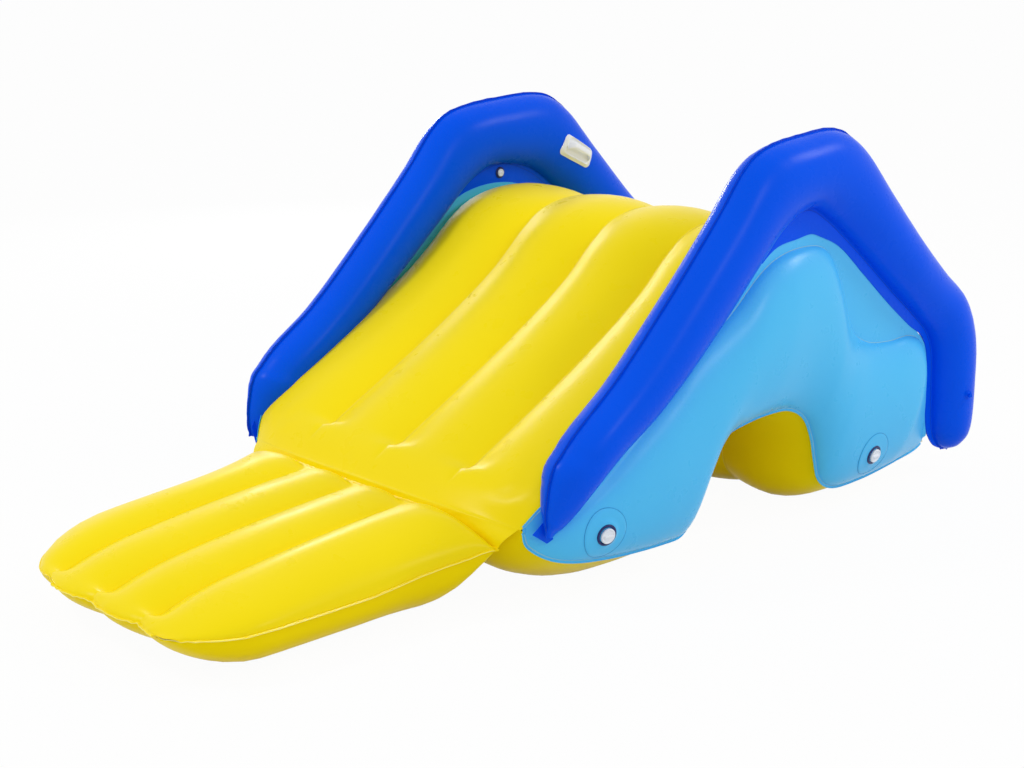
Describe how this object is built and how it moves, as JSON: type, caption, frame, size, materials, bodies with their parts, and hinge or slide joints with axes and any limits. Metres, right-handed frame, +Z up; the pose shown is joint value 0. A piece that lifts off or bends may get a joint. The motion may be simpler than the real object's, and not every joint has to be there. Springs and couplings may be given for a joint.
{
  "type": "inflatable pool slide",
  "caption": "Inflatable water slide with a lobed slope over an arched base, tubular side rails with handles, and a fold-up landing mat at its toe.",
  "frame": {"origin": "on the floor under the middle of the whole slide with its mat laid out", "axes": "+Y from the landing mat towards the rear step, +Z up, +X to the side that carries the two filling ports"},
  "size_m": [1.2592, 2.474, 0.9939],
  "materials": {
    "yellow_film": "smooth glossy welded film",
    "light_blue_film": "smooth glossy welded film",
    "deep_blue_film": "smooth glossy welded film",
    "navy_plastic": "moulded soft plastic",
    "white_plastic": "moulded soft plastic, satin"
  },
  "bodies": {
    "slide_body": {"slide_sheet": "yellow_film", "underside_sheet": "yellow_film", "side_panel_left": "light_blue_film", "side_panel_right": "light_blue_film", "body_baffle_left": "yellow_film", "body_baffle_middle": "yellow_film", "body_baffle_right": "yellow_film", "rail_left_outer": "deep_blue_film", "rail_left_inner": "deep_blue_film", "handle_plate_left": "white_plastic", "handle_grip_left": "white_plastic", "rail_left_port_ring": "navy_plastic", "rail_left_valve": "deep_blue_film", "rail_right_outer": "deep_blue_film", "rail_right_inner": "deep_blue_film", "handle_plate_right": "white_plastic", "handle_grip_right": "white_plastic", "rail_right_port_ring": "navy_plastic", "rail_right_valve": "deep_blue_film", "port_front_patch": "light_blue_film", "port_front_ring": "navy_plastic", "port_rear_patch": "light_blue_film", "port_rear_ring": "navy_plastic"},
    "landing_mat": {"mat_top_sheet": "yellow_film", "mat_bottom_sheet": "yellow_film", "mat_baffle_left": "yellow_film", "mat_baffle_middle": "yellow_film", "mat_baffle_right": "yellow_film", "mat_hinge_strip": "yellow_film"},
    "front_port_cap": {"port_front_cap": "white_plastic"},
    "rear_port_cap": {"port_rear_cap": "white_plastic"},
    "left_rail_cap": {"rail_left_port_cap": "white_plastic"},
    "right_rail_cap": {"rail_right_port_cap": "white_plastic"},
    "left_valve_stopper": {"rail_left_valve_stopper": "deep_blue_film"},
    "right_valve_stopper": {"rail_right_valve_stopper": "deep_blue_film"}
  },
  "joints": [
    {"name": "mat_hinge", "type": "hinge", "parent": "slide_body", "child": "landing_mat", "pos_m": [0, -0.4775, 0.204], "axis": [-1, 0, 0], "range_deg": [0, 120]},
    {"name": "front_cap_turn", "type": "hinge", "parent": "slide_body", "child": "front_port_cap", "pos_m": [0.56918, -0.23877, 0.15367], "axis": [0.9709, -0.191, -0.1444], "range_deg": [0, 540]},
    {"name": "rear_cap_turn", "type": "hinge", "parent": "slide_body", "child": "rear_port_cap", "pos_m": [0.58969, 0.75579, 0.13288], "axis": [0.9709, -0.0038, -0.2393], "range_deg": [0, 540]},
    {"name": "left_rail_cap_turn", "type": "hinge", "parent": "slide_body", "child": "left_rail_cap", "pos_m": [-0.544, 0.492, 0.777], "axis": [1, 0, 0], "range_deg": [0, 540]},
    {"name": "right_rail_cap_turn", "type": "hinge", "parent": "slide_body", "child": "right_rail_cap", "pos_m": [0.544, 0.492, 0.777], "axis": [-1, 0, 0], "range_deg": [0, 540]},
    {"name": "left_stopper_pull", "type": "slide", "parent": "slide_body", "child": "left_valve_stopper", "axis": [-0.9708, -0.2304, -0.0675], "range_m": [0, 0.008]},
    {"name": "right_stopper_pull", "type": "slide", "parent": "slide_body", "child": "right_valve_stopper", "axis": [0.9708, -0.2304, -0.0675], "range_m": [0, 0.008]}
  ]
}
